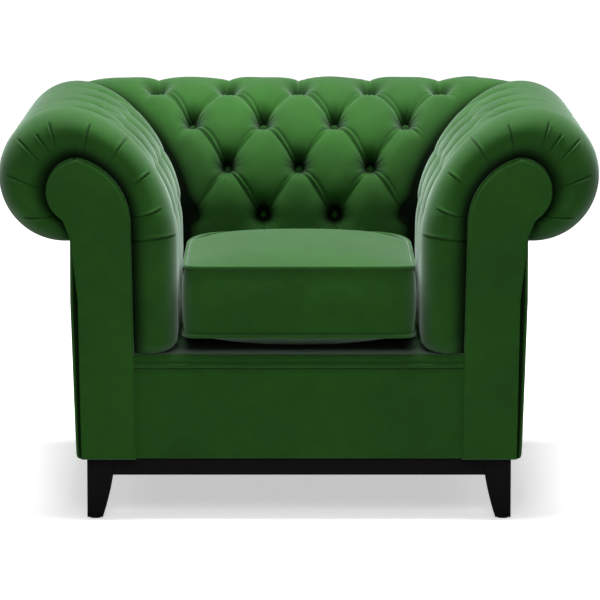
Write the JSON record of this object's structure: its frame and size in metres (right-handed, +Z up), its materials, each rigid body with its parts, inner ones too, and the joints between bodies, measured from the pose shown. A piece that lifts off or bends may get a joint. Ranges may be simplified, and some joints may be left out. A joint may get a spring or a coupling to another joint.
{
  "type": "chesterfield armchair",
  "caption": "Upholstered armchair with rolled arms and back, deep diamond tufting, a loose box cushion and a low black wooden base with tapered legs.",
  "frame": {"origin": "middle of the chair's footprint box, on the floor", "axes": "+Z up, the chair faces -Y, +X to the right as seen from its front"},
  "size_m": [1.1198, 0.9099, 0.77],
  "materials": {
    "velvet": "short-pile green velvet with a soft sheen",
    "black_wood": "black stain, satin",
    "frame_wood": "planed beech",
    "foam": "open-cell polyurethane foam",
    "lining_cloth": "jute lining",
    "dust_cloth": "black non-woven cloth",
    "glide_plastic": "black glide",
    "zinc_steel": "zinc plated",
    "spring_steel": "drawn spring wire",
    "zip_tape": "green zip tape with coil teeth"
  },
  "bodies": {
    "chair": {"front_left_leg": "black_wood", "front_right_leg": "black_wood", "rear_left_leg": "black_wood", "rear_right_leg": "black_wood", "front_base_rail": "black_wood", "rear_base_rail": "black_wood", "left_base_rail": "black_wood", "right_base_rail": "black_wood", "leg_glides": "glide_plastic", "leg_bolts": "zinc_steel", "front_seat_rail": "frame_wood", "rear_seat_rail": "frame_wood", "left_seat_rail": "frame_wood", "right_seat_rail": "frame_wood", "seat_corner_blocks": "frame_wood", "left_arm_scroll_board": "frame_wood", "right_arm_scroll_board": "frame_wood", "left_arm_roll_rail": "frame_wood", "right_arm_roll_rail": "frame_wood", "left_arm_liner_rail": "frame_wood", "right_arm_liner_rail": "frame_wood", "back_roll_rail": "frame_wood", "back_liner_rail": "frame_wood", "left_back_post": "frame_wood", "right_back_post": "frame_wood", "back_centre_rib": "frame_wood", "left_arm_lining": "lining_cloth", "right_arm_lining": "lining_cloth", "back_lining": "lining_cloth", "left_arm_foam": "foam", "right_arm_foam": "foam", "back_foam": "foam", "left_inside_arm_cover": "velvet", "right_inside_arm_cover": "velvet", "inside_back_cover": "velvet", "left_arm_buttons": "velvet", "right_arm_buttons": "velvet", "back_buttons": "velvet", "left_arm_facing": "velvet", "right_arm_facing": "velvet", "left_outside_arm_cover": "velvet", "right_outside_arm_cover": "velvet", "outside_back_cover": "velvet", "front_border": "velvet", "deck_cover": "velvet", "deck_welt": "velvet", "seat_deck_pad": "foam", "spring_insulator": "lining_cloth", "seat_springs": "spring_steel", "spring_clips": "zinc_steel", "dust_cover": "dust_cloth"},
    "seat_cushion": {"cushion_cover": "velvet", "cushion_foam": "foam", "cushion_top_welt": "velvet", "cushion_bottom_welt": "velvet", "cushion_zip": "zip_tape"},
    "zip_pull": {"zip_slider": "zinc_steel"}
  },
  "joints": [
    {"name": "cushion_lift", "type": "slide", "parent": "chair", "child": "seat_cushion", "axis": [0, 0, 1], "range_m": [0, 0.3]},
    {"name": "zip_travel", "type": "slide", "parent": "seat_cushion", "child": "zip_pull", "axis": [1, 0, 0], "range_m": [0, 0.305]}
  ]
}
